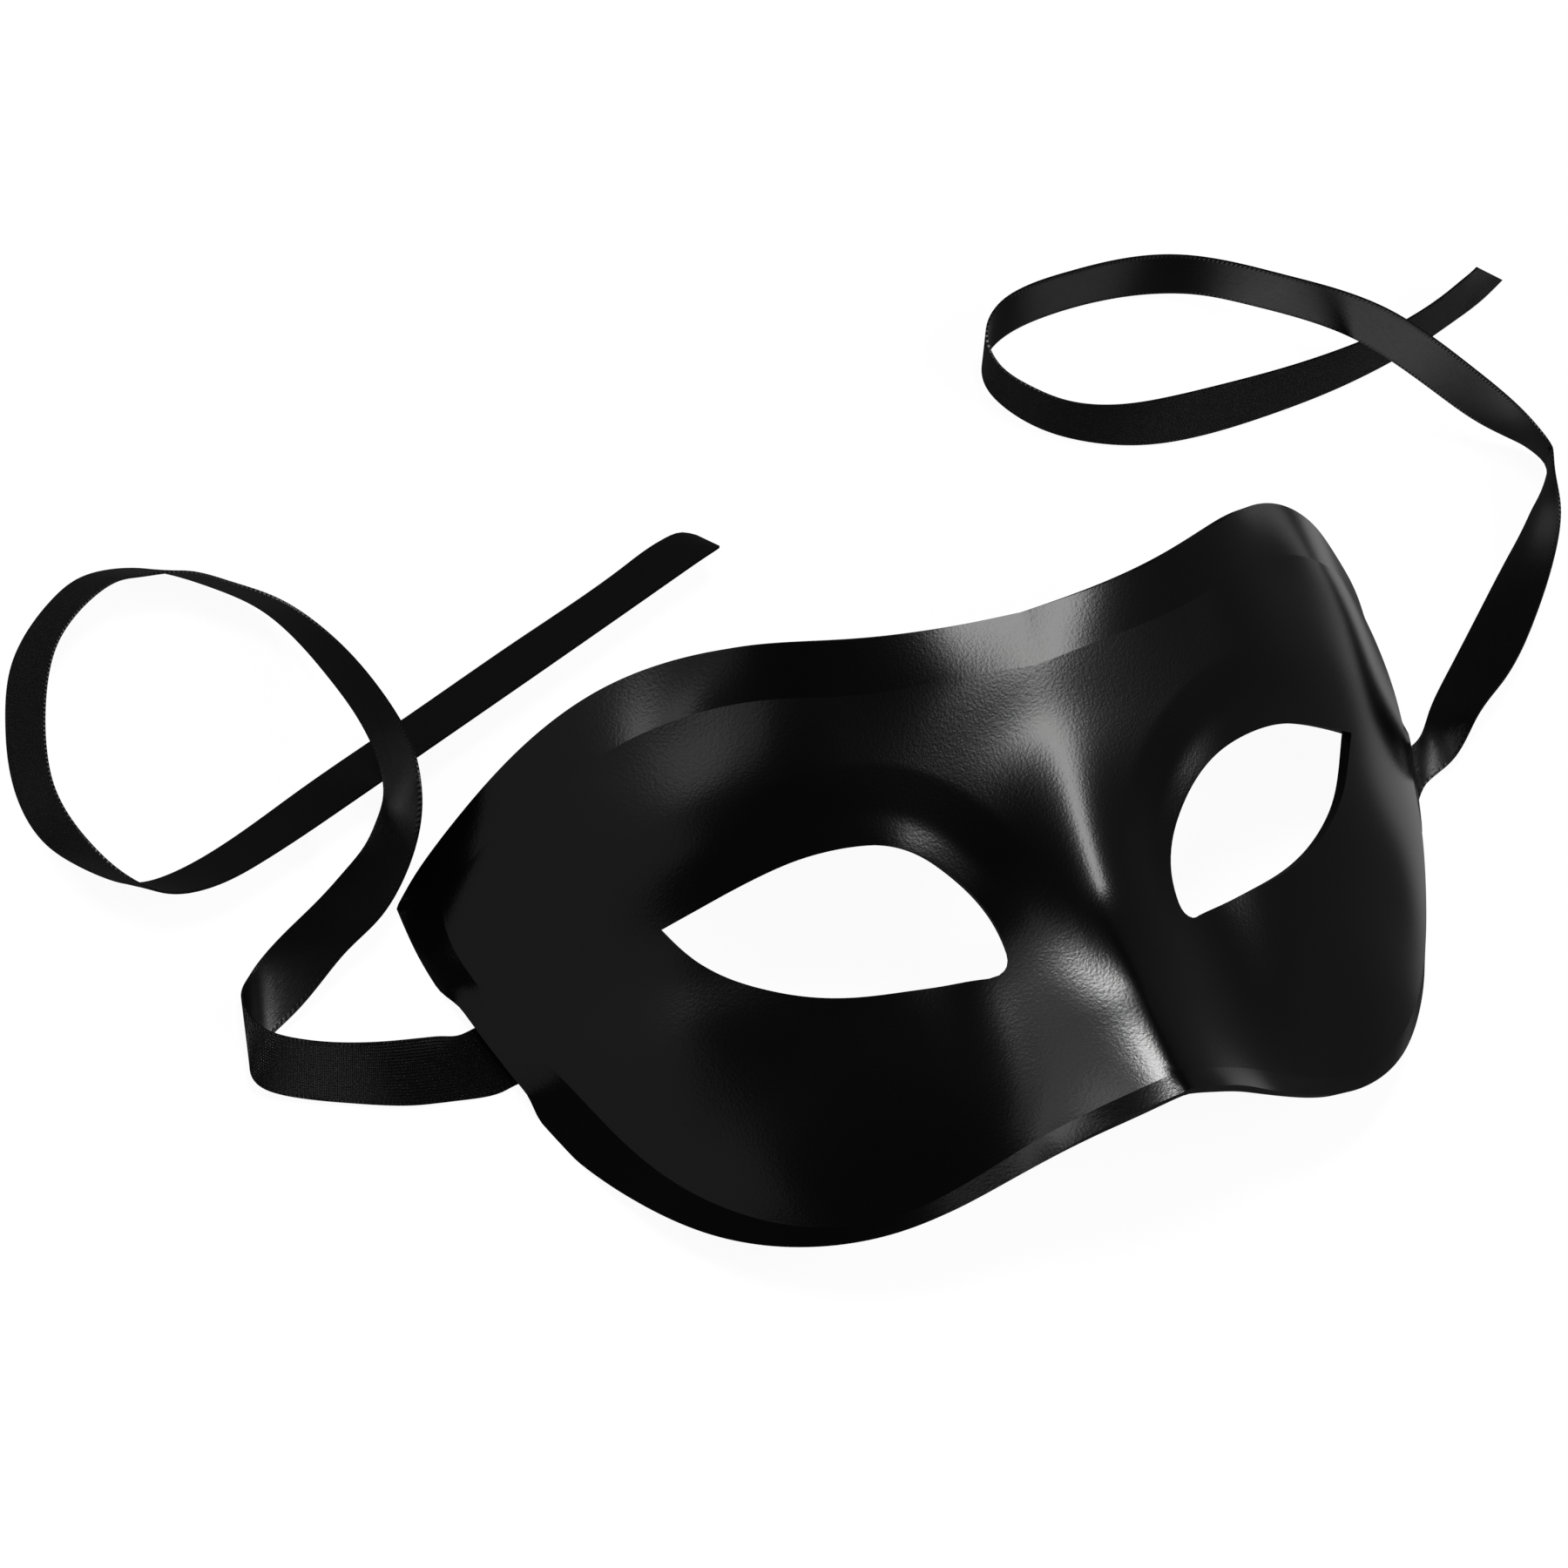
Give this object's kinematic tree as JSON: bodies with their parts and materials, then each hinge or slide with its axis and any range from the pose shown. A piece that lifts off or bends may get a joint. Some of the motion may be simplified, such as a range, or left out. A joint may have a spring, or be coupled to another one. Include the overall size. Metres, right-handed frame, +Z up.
{
  "type": "costume eye mask",
  "caption": "Moulded half mask with almond eye openings, a raised nose ridge, a flat brow border and a flat ribbon tie at each side.",
  "frame": {"origin": "on the floor under the mask, midway across it and midway between its cheek edge and its brow edge", "axes": "+X across the mask to the wearer's left, +Y from the cheeks to the brow, +Z up, out of the face side"},
  "size_m": [0.2677, 0.1342, 0.0472],
  "materials": {
    "shell": "black, satin gloss",
    "ribbon": "black satin weave"
  },
  "bodies": {
    "root": {"mask_shell": "shell", "ribbon_left": "ribbon", "ribbon_right": "ribbon"}
  },
  "joints": []
}
